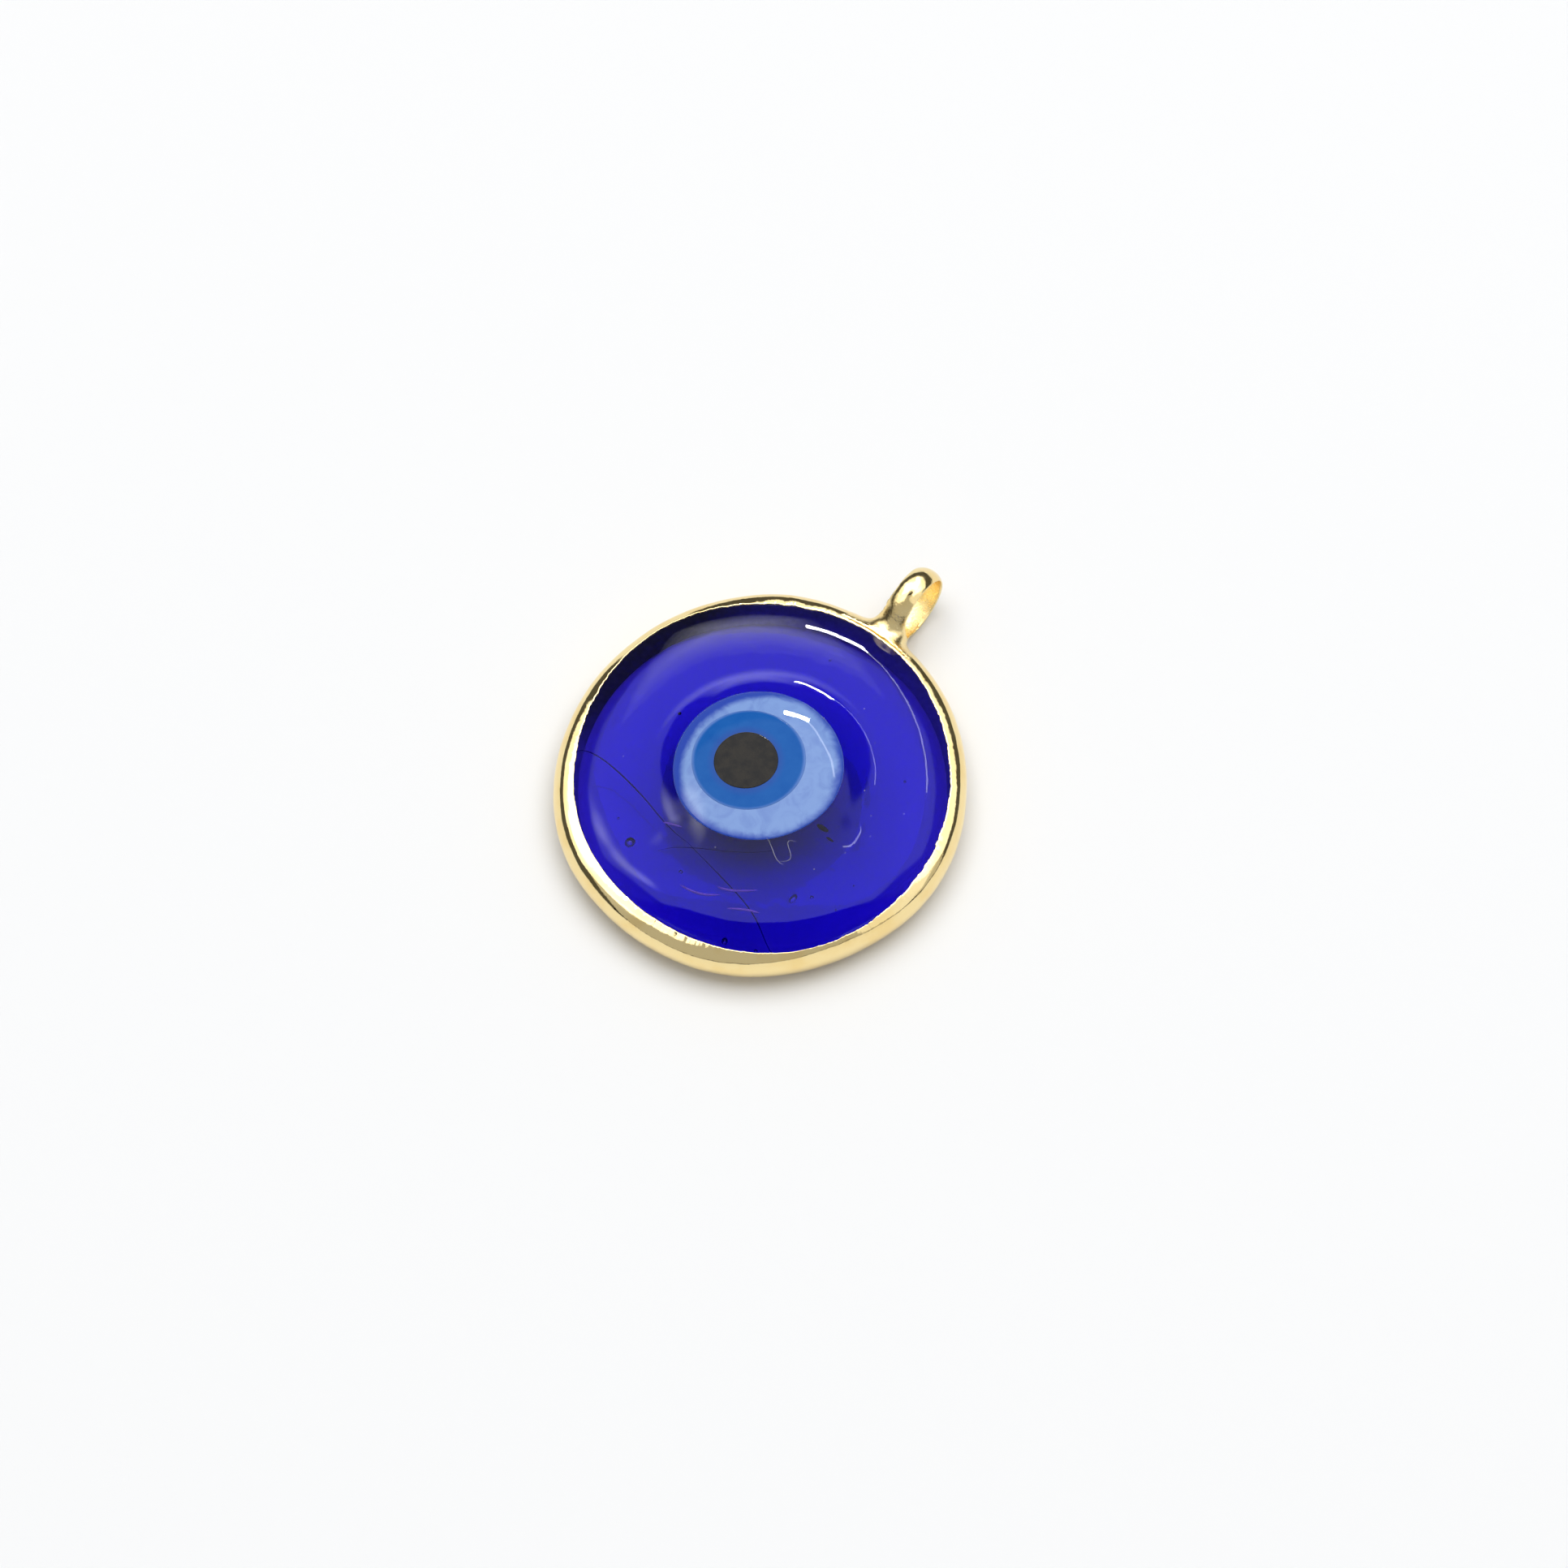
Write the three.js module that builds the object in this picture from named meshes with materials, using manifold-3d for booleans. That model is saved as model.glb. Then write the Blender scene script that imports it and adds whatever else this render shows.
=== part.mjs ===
// Evil eye pendant. A round bead of clear cobalt glass is flat behind and rises to a
// low mound in front. An eye of three opal glass layers is melted into the mound. A
// gold-plated electroformed rim grips the edge of the bead, and a ring is built onto
// the rim to hang it by.
//
// Millimetres. The pendant lies on its flat back: Z is the bead's axis and points out
// of the face, and +Y points to the hanging loop. The origin is the centre of the back.

import * as THREE from "three";
import { mergeVertices } from "three/addons/utils/BufferGeometryUtils.js";
import Module from "manifold-3d";

const wasm = await Module();
wasm.setup();

// Clearance left where two fused layers meet, so that each stays a solid of its own.
const GAP = 0.05;

// The bead.
const GLASS_RADIUS = 10.3; // where the lips of the rim end on the glass
const FLAT_BACK_RADIUS = 7.9;
const PLATEAU_HEIGHT = 3.45;
const SHOULDER_DROP = 0.74; // from the plateau to the lip of the rim
const SHOULDER_POWER = 9;
const MOUND_HEIGHT = 1.3;
const MOUND_FOOT_RADIUS = 5.1; // the steepest part of the mound's side
const MOUND_SOFTNESS = 0.6;
const CROWN_HEIGHT = 0.12; // how far the middle of the mound is domed

// The gold rim, a C-shaped channel.
const RIM_HEIGHT_CENTRE = 1.58;
const RIM_HALF_HEIGHT = 1.3;
const RIM_OUTER_RADIUS = 11.165;
const LIP_THICKNESS = 0.12;
const GLASS_IN_CHANNEL = 0.36; // how far the glass reaches past the lips

// The eye's layers. edge is the height at which a bowl is widest, and depth how far it
// sinks below that.
const WHITE_BOWL = { x: -0.1, y: -0.29, radius: 4.4, edge: 4.05, depth: 1.1 };
const IRIS_BOWL = { x: -0.61, y: -0.46, radius: 2.96, edge: 4.5, depth: 0.8 };
const PUPIL_BOWL = { x: -0.64, y: -0.64, radius: 1.7, edge: 4.7, depth: 0.5 };
const ABOVE_THE_FACE = 6;

// The hanging loop, a ring of half-round wire that stands on edge.
const LOOP_CENTRE_Y = 13.42;
const LOOP_CENTRE_Z = 2.15;
const LOOP_HOLE_RADIUS = 1.79;
const LOOP_CROWN_RADIUS = 2.12;
const LOOP_HALF_WIDTH = 0.685;
const LOOP_EDGE = 0.07;

// The neck, where plating built up between the ring and the rim.
const NECK_START = 10.6;
const NECK_LENGTH = 1.75;
const NECK_HALF_WIDTH = 0.7;
const NECK_FLARE = 1.5; // added to the half width at the rim
const NECK_FLARE_FROM = 11.15;
const NECK_FLARE_LENGTH = 0.35;
const NECK_HALF_HEIGHT = 1.0;

// The bead and its rim are hand-made, so their outlines wander a little. Each lobe is a
// number of waves around the bead, their height, and the direction of a crest in degrees.
const GLASS_LOBES = [
  { waves: 2, height: 0.16, crest: 135 },
  { waves: 3, height: 0.05, crest: 83 },
  { waves: 4, height: 0.037, crest: 65 },
  { waves: 5, height: 0.034, crest: 19 },
];
const RIM_LOBES = [
  { waves: 1, height: 0.093, crest: 188 },
  { waves: 2, height: 0.157, crest: 92 },
  { waves: 3, height: 0.08, crest: 118 },
  { waves: 4, height: 0.038, crest: 24 },
  { waves: 5, height: 0.029, crest: 6 },
  { waves: 6, height: 0.039, crest: 59 },
];

const BEAD_SEGMENTS = 60;
const SMALL_SEGMENTS = 32;
const FACE_STEPS = 13;
const BACK_STEPS = 4;
const EDGE_STEPS = 6;
const ARC_STEPS = 8;

const RIGHT_ANGLE = Math.PI / 2;

const gold = () => new THREE.MeshStandardMaterial({ color: 0xe3c478, roughness: 0.18, metalness: 1 });
const glass = (color) => new THREE.MeshStandardMaterial({ color, roughness: 0.05, metalness: 0 });

// ---- geometry helpers ----

const lobeSum = (lobes, angle) =>
  lobes.reduce((sum, lobe) => {
    const crest = THREE.MathUtils.degToRad(lobe.crest);
    return sum + lobe.height * Math.cos(lobe.waves * (angle - crest));
  }, 0);

const glassRadius = (angle) => GLASS_RADIUS + lobeSum(GLASS_LOBES, angle);
const rimRadius = (angle) => RIM_OUTER_RADIUS + lobeSum(RIM_LOBES, angle);

// The numbers from start to end, both included.
const steps = (start, end, count) =>
  Array.from({ length: count + 1 }, (_, i) => start + ((end - start) * i) / count);

// A solid around the Z axis. sectionAt(angle) gives its section as [radius, height]
// points, anticlockwise, either closed on itself or starting and ending on the axis.
function turned(sectionAt, segments) {
  const nominal = sectionAt(0).map(([radius, height]) => new THREE.Vector2(radius, height));
  const geometry = new THREE.LatheGeometry(nominal, segments);
  const position = geometry.attributes.position;
  for (let i = 0; i < position.count; i++) {
    const turn = Math.floor(i / nominal.length) % segments;
    const angle = (turn * 2 * Math.PI) / segments;
    const [radius, height] = sectionAt(angle)[i % nominal.length];
    position.setXYZ(i, radius * Math.cos(angle), radius * Math.sin(angle), height);
  }
  return geometry;
}

// Triangles with three different corners, which leaves out the ones squeezed flat at a pole.
function realTriangles(index) {
  const kept = [];
  for (let i = 0; i < index.count; i += 3) {
    const corners = [index.getX(i), index.getX(i + 1), index.getX(i + 2)];
    if (new Set(corners).size === 3) {
      kept.push(...corners);
    }
  }
  return kept;
}

function toSolid(geometry) {
  const bare = geometry.clone();
  bare.deleteAttribute("normal");
  bare.deleteAttribute("uv");
  const merged = mergeVertices(bare);
  const mesh = new wasm.Mesh({
    numProp: 3,
    vertProperties: new Float32Array(merged.attributes.position.array),
    triVerts: new Uint32Array(realTriangles(merged.index)),
  });
  return new wasm.Manifold(mesh);
}

function toGeometry(solid) {
  const mesh = solid.getMesh();
  const geometry = new THREE.BufferGeometry();
  geometry.setAttribute("position", new THREE.BufferAttribute(mesh.vertProperties, 3));
  geometry.setIndex(new THREE.BufferAttribute(mesh.triVerts, 1));
  geometry.computeVertexNormals();
  return geometry;
}

function named(name, geometry, material) {
  const mesh = new THREE.Mesh(geometry, material);
  mesh.name = name;
  return mesh;
}

// ---- bead ----

// Height of the face: plateau, mound and crown, falling away over the shoulder.
function faceHeight(radius, edgeRadius) {
  const mound = MOUND_HEIGHT / (1 + Math.exp((radius - MOUND_FOOT_RADIUS) / MOUND_SOFTNESS));
  const crown = CROWN_HEIGHT * Math.max(0, 1 - (radius / MOUND_FOOT_RADIUS) ** 2);
  const shoulder = SHOULDER_DROP * (radius / edgeRadius) ** SHOULDER_POWER;
  return PLATEAU_HEIGHT + mound + crown - shoulder;
}

// Half an ellipse past the lips, from underneath to the top. The same shape, grown by a
// clearance, is the inside of the rim's channel.
function edgeArc(angle, clearance) {
  const halfHeight = RIM_HALF_HEIGHT - LIP_THICKNESS - GAP + clearance;
  return steps(-RIGHT_ANGLE, RIGHT_ANGLE, EDGE_STEPS).map((turn) => [
    glassRadius(angle) + (GLASS_IN_CHANNEL + clearance) * Math.cos(turn),
    RIM_HEIGHT_CENTRE + halfHeight * Math.sin(turn),
  ]);
}

function beadSection(angle) {
  const edgeRadius = glassRadius(angle);
  const arc = edgeArc(angle, 0);
  const backRise = arc[0][1];
  const back = steps(0, 1, BACK_STEPS).map((part) => [
    FLAT_BACK_RADIUS + part * (edgeRadius - FLAT_BACK_RADIUS),
    backRise * part ** 2,
  ]);
  const face = steps(edgeRadius, 0, FACE_STEPS).map((radius) => [radius, faceHeight(radius, edgeRadius)]);
  return [[0, 0], ...back, ...arc.slice(1, -1), ...face];
}

// The bowl-shaped space that one layer of the eye fills, open through the face.
function eyeBowl({ x, y, radius, edge, depth }, clearance) {
  const section = [
    ...steps(-RIGHT_ANGLE, 0, ARC_STEPS / 2).map((turn) => [
      (radius + clearance) * Math.cos(turn),
      edge + (depth + clearance) * Math.sin(turn),
    ]),
    [radius + clearance, ABOVE_THE_FACE],
    [0, ABOVE_THE_FACE],
  ];
  section[0][0] = 0;
  const geometry = turned(() => section, SMALL_SEGMENTS);
  geometry.translate(x, y, 0);
  return toSolid(geometry);
}

function beadAndEye() {
  const bead = toSolid(turned(beadSection, BEAD_SEGMENTS));
  const layer = (bowl, inner) => bead.intersect(eyeBowl(bowl, 0)).subtract(eyeBowl(inner, GAP));
  const base = bead.subtract(eyeBowl(WHITE_BOWL, GAP));
  const pupil = bead.intersect(eyeBowl(PUPIL_BOWL, 0));
  return [
    named("glass_base", toGeometry(base), glass(0x1c12b8)),
    named("eye_white_layer", toGeometry(layer(WHITE_BOWL, IRIS_BOWL)), glass(0x86a8e0)),
    named("iris_layer", toGeometry(layer(IRIS_BOWL, PUPIL_BOWL)), glass(0x1a6cc4)),
    named("pupil_layer", toGeometry(pupil), glass(0x1c1b1a)),
  ];
}

// ---- rim ----

// A circular arc bulging outwards between the two lips, from the lower to the upper one.
function rimArc(angle, clearance) {
  const lip = glassRadius(angle);
  const bulge = rimRadius(angle) - lip;
  const arcRadius = (RIM_HALF_HEIGHT ** 2 + bulge ** 2) / (2 * bulge);
  const centre = lip + bulge - arcRadius;
  const reach = Math.asin(RIM_HALF_HEIGHT / arcRadius);
  return steps(-reach, reach, ARC_STEPS).map((turn) => [
    centre + (arcRadius + clearance) * Math.cos(turn),
    RIM_HEIGHT_CENTRE + (arcRadius + clearance) * Math.sin(turn),
  ]);
}

function rimSection(angle) {
  const outside = rimArc(angle, 0);
  const channel = edgeArc(angle, GAP).reverse();
  return [...outside, ...channel, outside[0]];
}

const rimBezel = () => named("rim_bezel", turned(rimSection, BEAD_SEGMENTS), gold());

// The whole disc inside the rim's outline, used to trim the neck.
function rimEnvelope() {
  const bottom = RIM_HEIGHT_CENTRE - RIM_HALF_HEIGHT;
  const top = RIM_HEIGHT_CENTRE + RIM_HALF_HEIGHT;
  const section = (angle) => [[0, bottom], ...rimArc(angle, GAP), [0, top]];
  return toSolid(turned(section, BEAD_SEGMENTS));
}

// ---- hanging loop ----

function loopArc(clearance) {
  const edge = LOOP_HOLE_RADIUS + LOOP_EDGE;
  const rise = LOOP_CROWN_RADIUS - edge;
  const arcRadius = (LOOP_HALF_WIDTH ** 2 + rise ** 2) / (2 * rise);
  const centre = LOOP_CROWN_RADIUS - arcRadius;
  const reach = Math.asin(LOOP_HALF_WIDTH / arcRadius);
  return steps(-reach, reach, ARC_STEPS).map((turn) => [
    centre + (arcRadius + clearance) * Math.cos(turn),
    (arcRadius + clearance) * Math.sin(turn),
  ]);
}

// The loop's axis lies along X.
function placeLoop(geometry) {
  geometry.rotateY(RIGHT_ANGLE);
  geometry.translate(0, LOOP_CENTRE_Y, LOOP_CENTRE_Z);
  return geometry;
}

function hangingLoop() {
  const land = LOOP_HALF_WIDTH - LOOP_EDGE;
  const outside = loopArc(0);
  const section = [...outside, [LOOP_HOLE_RADIUS, land], [LOOP_HOLE_RADIUS, -land], outside[0]];
  return named("hanging_loop", placeLoop(turned(() => section, SMALL_SEGMENTS)), gold());
}

// The loop with its hole filled, used to trim the neck.
function loopEnvelope() {
  const arc = loopArc(GAP);
  const section = [[0, arc[0][1]], ...arc, [0, arc[ARC_STEPS][1]]];
  return toSolid(placeLoop(turned(() => section, SMALL_SEGMENTS)));
}

// ---- neck ----

// An oval bar along Y that flares towards the rim and leans up to the loop's centre.
function neckBar() {
  const stations = steps(0, NECK_LENGTH, ARC_STEPS);
  const flare = (along) => Math.exp((NECK_FLARE_FROM - NECK_START - along) / NECK_FLARE_LENGTH);
  const halfWidth = (along) => NECK_HALF_WIDTH + NECK_FLARE * Math.min(1, flare(along));
  const section = (angle) => {
    const oval = stations.map((along) => {
      const across = Math.cos(angle) / halfWidth(along);
      const upright = Math.sin(angle) / NECK_HALF_HEIGHT;
      return [1 / Math.hypot(across, upright), along];
    });
    return [[0, 0], ...oval, [0, NECK_LENGTH]];
  };
  const geometry = turned(section, SMALL_SEGMENTS);
  geometry.rotateX(-RIGHT_ANGLE);
  geometry.translate(0, NECK_START, (RIM_HEIGHT_CENTRE + LOOP_CENTRE_Z) / 2);
  return toSolid(geometry);
}

function loopNeck() {
  const neck = neckBar().subtract(rimEnvelope()).subtract(loopEnvelope());
  return named("loop_neck", toGeometry(neck), gold());
}

const pendant = new THREE.Group();
pendant.add(...beadAndEye(), rimBezel(), hangingLoop(), loopNeck());

export default pendant;
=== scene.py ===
# Looks of the evil eye pendant: a cobalt glass bead with an eye of opal glass, in a
# gold-plated rim with a hanging loop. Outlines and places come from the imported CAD
# frame. Lengths are in millimetres until a mesh is made, which takes them to metres.

import math

import bpy
import numpy as np
from mathutils import Matrix, Vector, noise


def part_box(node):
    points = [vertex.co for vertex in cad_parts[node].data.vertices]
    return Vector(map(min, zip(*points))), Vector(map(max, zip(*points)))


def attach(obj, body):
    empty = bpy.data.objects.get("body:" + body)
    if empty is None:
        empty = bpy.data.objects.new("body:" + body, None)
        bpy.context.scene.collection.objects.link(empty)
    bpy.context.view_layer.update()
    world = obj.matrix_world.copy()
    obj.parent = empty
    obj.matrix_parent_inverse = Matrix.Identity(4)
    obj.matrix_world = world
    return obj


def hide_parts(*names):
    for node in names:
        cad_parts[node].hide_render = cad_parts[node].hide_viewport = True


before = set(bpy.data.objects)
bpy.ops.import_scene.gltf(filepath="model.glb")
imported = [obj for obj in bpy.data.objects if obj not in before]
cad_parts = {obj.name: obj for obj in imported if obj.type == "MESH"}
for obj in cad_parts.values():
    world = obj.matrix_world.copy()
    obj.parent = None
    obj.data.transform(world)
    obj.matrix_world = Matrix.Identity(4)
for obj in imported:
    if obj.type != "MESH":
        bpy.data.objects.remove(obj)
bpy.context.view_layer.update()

MM = 0.001

# ---- camera and studio ----

CAMERA_AZIMUTH = 37
CAMERA_ELEVATION = 64
CAMERA_DISTANCE = 350
CAMERA_ASIDE = (1.128, 0.743)  # right and up, from the line through the origin
LENS = 149.15
SENSOR = 36

# ---- bead ----

LIP_HEIGHT = 2.77  # of the glass where it goes under the rim
SHOULDER_DROP = 0.86  # from the plateau to there
SHOULDER_POWER = 8
MOUND_CENTRE = (0.4, -0.3)
MOUND_SLOPE = 0.0232  # at 1 mm from its centre
MOUND_POWER = 1.9  # how the slope steepens outwards
MOUND_FALL = (4.6, 6.7)  # where the slope eases off again
MOUND_LIMIT = 9  # the mound has ended well inside this radius
MOUND_STEPS = 900
GENTLE_SIDE = (0.6, -0.8)  # where the mound is less steep and the plateau a little higher
GENTLE_SLOPE = 0.2
GENTLE_RAISE = 0.3
GENTLE_SHOULDER_POWER = 16
GENTLE_SPREAD = (0.45, 0.9)  # cosines of the angles from that side where it begins and is full
GENTLE_FOOT = 1.2  # half the width of its foot
GENTLE_TOP = 4  # the radius from which its slope is taken as even
RIPPLE_FROM = (2.75, 3.1)  # heights over which the hand-made unevenness of the face sets in
FLAT_BACK = 7.9
EDGE_DEPTH = 0.43  # how far the glass reaches past the lips, where the rim is wide enough
EDGE_SHARE = 0.5  # of the rim's width, where it is narrow
EDGE_HALF_HEIGHT = 1.19
BEAD_TURNS = 288
BACK_POLE = 0.6  # radius of the innermost ring of the flat back
BACK_POINTS = 9  # on each half of a section, here and below
BEVEL_POINTS = 8
EDGE_POINTS = 14
FACE_POINTS = 98
LAYER_TURNS = 160
LAYER_RINGS = 39
LAYER_EDGE = 0.02  # thickness of a layer at its outline

# ---- rim, loop and neck ----

CAD_TURNS = 60  # the half planes that the CAD rim's vertices lie in
OUTLINE_WAVES = 7
RIM_TURNS = 900
RIM_ARC_POINTS = 44
CHANNEL_POINTS = 14
SEAT = 0.02  # how far the painted channel is set into the glass
LIP_THICKNESS = 0.035
LIP_EDGE = (0.012, 0.02)  # how far its edge stands in past its top, and hangs below it
LIP_HEEL = (0.02, 0.07)  # how far the corner behind the edge lies out and below
LIP_CIRCLE = 10.3  # rough radius of the rim, where the noise for its lip and dents is read
LIP_START = 0.8  # the part of the way up its outside from which it leans in to the lip
SMOOTH_LIP = (0.12, -0.99)  # the side where the upper lip is least ragged
LOWER_LIP = (0.95, 0.8, 0.65)  # places on the bead's bevel that the lower lip reaches in to
LOOP_TURNS = 200
LOOP_EDGE = 0.07  # width of the corner between the wire's crown and its flat side
LOOP_BOW = 0.04  # how far the wire's flat side bows into the hole
CROWN_POINTS = 30
HOLE_POINTS = 14
NECK_CENTRE = (0, 11.4, 2.0)
NECK_BLEND = 1.3
NECK_REACH = 3.1  # how far it goes from its centre
NECK_TAPER = 1.9  # the distance from there at which it starts to thin out
NECK_SKIN = 0.012  # how far it stands over the rim and the ring
NECK_FADE = 0.06  # how far it draws in towards its reach, to end under their surfaces
NECK_LOW = (-3.2, 9.6, 0.0)  # the box that its surface is looked for in
NECK_HIGH = (3.2, 13.6, 4.6)
NECK_STEP = 0.06
NECK_ROOM = 1.05  # of the channel that is cut out of it, beside the bead's edge
NECK_CLEAR = 0.1  # how far it stays back from the lip


# ---- small helpers ----


def smooth(x, start, end):
    part = np.clip((np.asarray(x, float) - start) / (end - start), 0, 1)
    return part * part * (3 - 2 * part)


def bumps(points, wavelength, seed=0):
    """Smooth noise between about -1 and 1 at each point."""
    shift = Vector((17.3, 5.1, 9.7)) * seed
    return np.array([noise.noise(Vector(p) / wavelength + shift) for p in points])


def box_mm(node):
    low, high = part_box(node)
    return np.array(low) / MM, np.array(high) / MM


def vertices_mm(node):
    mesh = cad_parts[node].data
    return np.array([v.co for v in mesh.vertices]) / MM


def make_object(name, points, faces, materials, face_slots=None):
    mesh = bpy.data.meshes.new(name)
    mesh.from_pydata((np.asarray(points) * MM).tolist(), [], [tuple(f) for f in faces])
    mesh.validate()
    for material in materials:
        mesh.materials.append(material)
    if face_slots is not None:
        mesh.polygons.foreach_set("material_index", list(face_slots))
    mesh.polygons.foreach_set("use_smooth", [True] * len(mesh.polygons))
    mesh.update()
    made = bpy.data.objects.new(name, mesh)
    bpy.context.scene.collection.objects.link(made)
    return made


def ring_faces(count, turns, closed):
    """Quads between neighbouring rings, with the last joined to the first if closed."""
    faces = []
    for ring in range(count if closed else count - 1):
        following = (ring + 1) % count
        for turn in range(turns):
            beside = (turn + 1) % turns
            faces.append(
                (
                    ring * turns + turn,
                    ring * turns + beside,
                    following * turns + beside,
                    following * turns + turn,
                )
            )
    return faces


def capped_rings(rings):
    """Points and faces of a closed body: rings from the bottom round to the top, with a
    pole at each end."""
    count, turns = rings.shape[:2]
    points = rings.reshape(-1, 3)
    faces = ring_faces(count, turns, closed=False)
    poles = [rings[0].mean(0), rings[-1].mean(0)]
    bottom = count * turns
    top = bottom + 1
    last = (count - 1) * turns
    for turn in range(turns):
        beside = (turn + 1) % turns
        faces.append((bottom, beside, turn))
        faces.append((top, last + turn, last + beside))
    return np.vstack([points, poles]), faces


# ---- outlines taken from the CAD rim ----


def wave_sum(samples):
    """A smooth closed curve through samples spaced evenly around the axis."""
    waves = np.fft.rfft(samples)[:OUTLINE_WAVES] / len(samples)

    def radius(angle):
        angle = np.asarray(angle, float)
        total = np.full(angle.shape, waves[0].real)
        for order, wave in enumerate(waves[1:], 1):
            total = total + 2 * (wave * np.exp(1j * order * angle)).real
        return total

    return radius


def rim_outlines():
    points = vertices_mm("rim_bezel")
    radius = np.hypot(points[:, 0], points[:, 1])
    step = 2 * math.pi / CAD_TURNS
    turn = np.rint(np.arctan2(points[:, 1], points[:, 0]) / step).astype(int) % CAD_TURNS
    lips = [radius[turn == i].min() for i in range(CAD_TURNS)]
    outer = [radius[turn == i].max() for i in range(CAD_TURNS)]
    return wave_sum(lips), wave_sum(outer)


lip_radius, rim_radius = rim_outlines()


def edge_depth(angle):
    return np.minimum(EDGE_DEPTH, EDGE_SHARE * (rim_radius(angle) - lip_radius(angle)))


RIM_LOW, RIM_HIGH = (corner[2] for corner in box_mm("rim_bezel"))
RIM_CENTRE = (RIM_LOW + RIM_HIGH) / 2
RIM_HALF_HEIGHT = (RIM_HIGH - RIM_LOW) / 2

LOOP_LOW, LOOP_HIGH = box_mm("hanging_loop")
LOOP_CENTRE = (LOOP_LOW + LOOP_HIGH) / 2
LOOP_CROWN = (LOOP_HIGH[2] - LOOP_LOW[2]) / 2
LOOP_HALF_WIDTH = (LOOP_HIGH[0] - LOOP_LOW[0]) / 2


def loop_hole_radius():
    points = vertices_mm("hanging_loop") - LOOP_CENTRE
    return np.hypot(points[:, 1], points[:, 2]).min()


LOOP_HOLE = loop_hole_radius()


def summed_inwards(slope, step):
    return np.cumsum(slope[::-1])[::-1] * step


def mound_profiles():
    """Heights of the mound above the plateau, by summing its slope inwards: on most sides,
    and on the gentle side, where the foot is put so that both meet at the top."""
    radius = np.linspace(0, MOUND_LIMIT, MOUND_STEPS)
    step = radius[1] - radius[0]
    rising = MOUND_SLOPE * radius**MOUND_POWER
    steep = rising * (1 - smooth(radius, *MOUND_FALL))
    capped = GENTLE_SLOPE * rising / np.sqrt(GENTLE_SLOPE**2 + rising**2)
    height = step * steep.sum() - GENTLE_RAISE
    missing = height - step * capped[radius < GENTLE_TOP].sum()
    foot = GENTLE_TOP + missing / GENTLE_SLOPE
    gentle = capped * (1 - smooth(radius, foot - GENTLE_FOOT, foot + GENTLE_FOOT))
    gentle *= height / (step * gentle.sum())
    return radius, summed_inwards(steep, step), summed_inwards(gentle, step)


MOUND_RADII, STEEP_HEIGHTS, GENTLE_HEIGHTS = mound_profiles()


def face_height(x, y):
    """The bead's face over a point: plateau and mound, falling away over the shoulder."""
    edge = lip_radius(np.arctan2(y, x))
    east, north = x - MOUND_CENTRE[0], y - MOUND_CENTRE[1]
    from_mound = np.hypot(east, north)
    along = (east * GENTLE_SIDE[0] + north * GENTLE_SIDE[1]) / np.maximum(from_mound, 0.01)
    gentle = smooth(along, *GENTLE_SPREAD)
    mound = (1 - gentle) * np.interp(from_mound, MOUND_RADII, STEEP_HEIGHTS)
    mound = mound + gentle * np.interp(from_mound, MOUND_RADII, GENTLE_HEIGHTS)
    drop = SHOULDER_DROP + GENTLE_RAISE * gentle
    power = SHOULDER_POWER + (GENTLE_SHOULDER_POWER - SHOULDER_POWER) * gentle
    shoulder = drop * (1 - (np.hypot(x, y) / edge) ** power)
    return LIP_HEIGHT + mound + shoulder


# ---- materials ----


def node(tree, kind, inputs=None, **settings):
    made = tree.nodes.new(kind)
    for key, value in settings.items():
        setattr(made, key, value)
    for key, value in (inputs or {}).items():
        if isinstance(value, bpy.types.NodeSocket):
            tree.links.new(value, made.inputs[key])
        else:
            made.inputs[key].default_value = value
    return made


def new_material(name):
    material = bpy.data.materials.new(name)
    material.use_nodes = True
    tree = material.node_tree
    tree.nodes.clear()
    output = tree.nodes.new("ShaderNodeOutputMaterial")
    shader = tree.nodes.new("ShaderNodeBsdfPrincipled")
    tree.links.new(shader.outputs["BSDF"], output.inputs["Surface"])
    return material, tree, shader, output


def place(tree):
    """Where a point is on the piece, in millimetres."""
    coordinates = tree.nodes.new("ShaderNodeTexCoord")
    scaled = node(tree, "ShaderNodeVectorMath", {0: coordinates.outputs["Object"]}, operation="SCALE")
    scaled.inputs["Scale"].default_value = 1 / MM
    return scaled.outputs["Vector"]


def noise_value(tree, where, wavelength, detail, roughness=0.5, swirl=0.0):
    settings = {
        "Vector": where,
        "Scale": 1 / wavelength,
        "Detail": detail,
        "Roughness": roughness,
        "Distortion": swirl,
    }
    return node(tree, "ShaderNodeTexNoise", settings).outputs["Fac"]


def remap(tree, value, from_low, from_high, to_low=0.0, to_high=1.0):
    """A smooth step from one pair of values to another."""
    made = node(
        tree,
        "ShaderNodeMapRange",
        {
            "Value": value,
            "From Min": from_low,
            "From Max": from_high,
            "To Min": to_low,
            "To Max": to_high,
        },
        interpolation_type="SMOOTHSTEP",
    )
    return made.outputs["Result"]


def blend_colours(tree, factor, first, second):
    made = tree.nodes.new("ShaderNodeMix")
    made.data_type = "RGBA"
    for index, value in ((0, factor), (6, first), (7, second)):
        if isinstance(value, bpy.types.NodeSocket):
            tree.links.new(value, made.inputs[index])
        elif index == 0:
            made.inputs[index].default_value = value
        else:
            made.inputs[index].default_value = (*value, 1)
    return made.outputs[2]


def maths(tree, operation, first, second=0.0):
    return node(tree, "ShaderNodeMath", {0: first, 1: second}, operation=operation).outputs[0]


def bump(tree, shader, height, distance):
    settings = {"Height": height, "Distance": distance * MM, "Strength": 1.0}
    made = node(tree, "ShaderNodeBump", settings)
    tree.links.new(made.outputs["Normal"], shader.inputs["Normal"])


def direction_part(tree, direction, axis):
    made = node(
        tree, "ShaderNodeVectorMath", {0: direction, 1: tuple(axis)}, operation="DOT_PRODUCT"
    )
    return made.outputs["Value"]


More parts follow.
